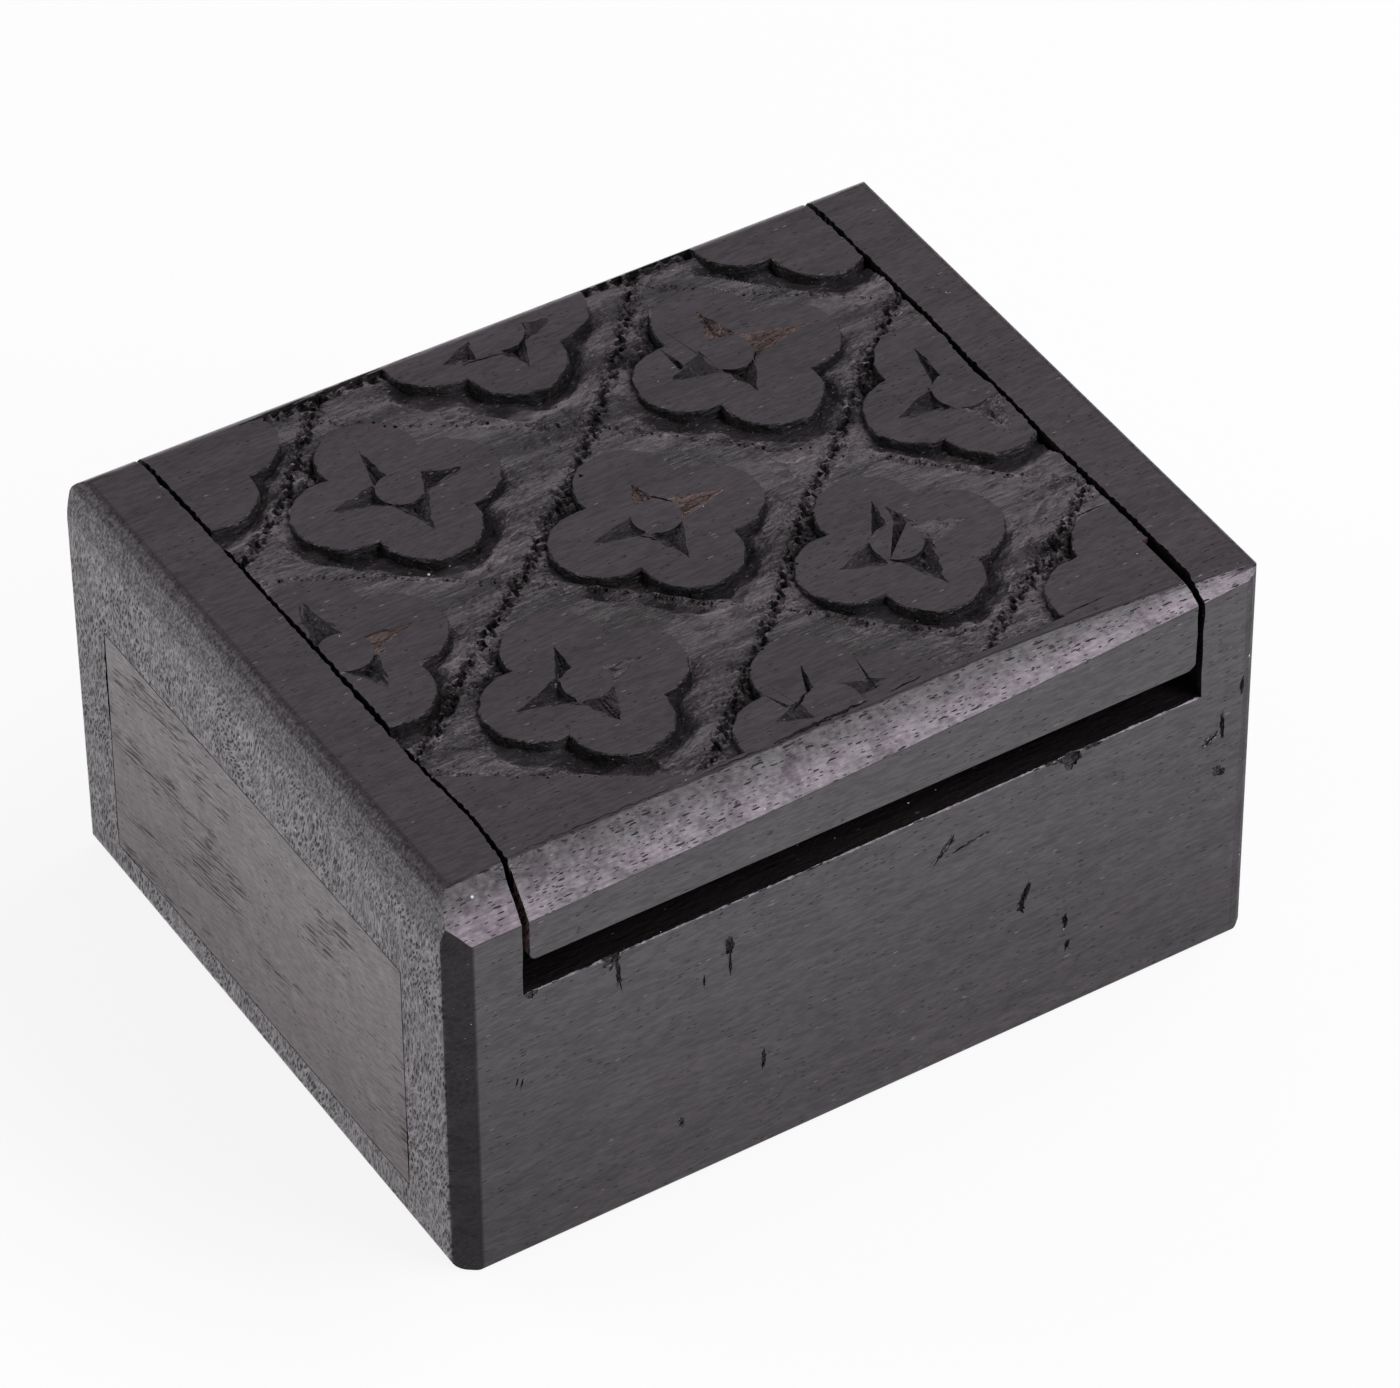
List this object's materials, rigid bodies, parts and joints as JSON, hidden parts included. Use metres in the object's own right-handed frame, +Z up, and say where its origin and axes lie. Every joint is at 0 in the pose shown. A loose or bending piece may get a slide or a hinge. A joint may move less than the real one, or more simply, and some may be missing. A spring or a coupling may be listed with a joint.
{
  "type": "storage box",
  "caption": "Small wooden box hollowed from one block, with a thick carved lid between two side strips that tilts open on hidden rear pins above a finger slot.",
  "frame": {"origin": "centre of the underside's box, on the surface that the box stands on", "axes": "+X to the box's right along its length, -Y is the front with the finger slot, +Z up"},
  "size_m": [0.1, 0.0796, 0.052],
  "materials": {
    "block_wood": "dyed near black and waxed, satin, with end grain at both ends",
    "lid_wood": "dyed near black and waxed, satin, matt in the carved ground",
    "panel_wood": "dyed and waxed long grain, satin",
    "pin_steel": "plain drawn wire",
    "dyed_filler": "wood dust and glue, dyed, matt"
  },
  "bodies": {
    "case": {"carcass": "block_wood", "left_end_panel": "panel_wood", "right_end_panel": "panel_wood", "left_pivot_pin": "pin_steel", "right_pivot_pin": "pin_steel", "left_pin_plug": "dyed_filler", "right_pin_plug": "dyed_filler"},
    "lid": {"lid": "lid_wood"}
  },
  "joints": [
    {"name": "lid_pivot", "type": "hinge", "parent": "case", "child": "lid", "pos_m": [0, 0.0333, 0.045], "axis": [-1, 0, 0], "range_deg": [0, 100]}
  ]
}
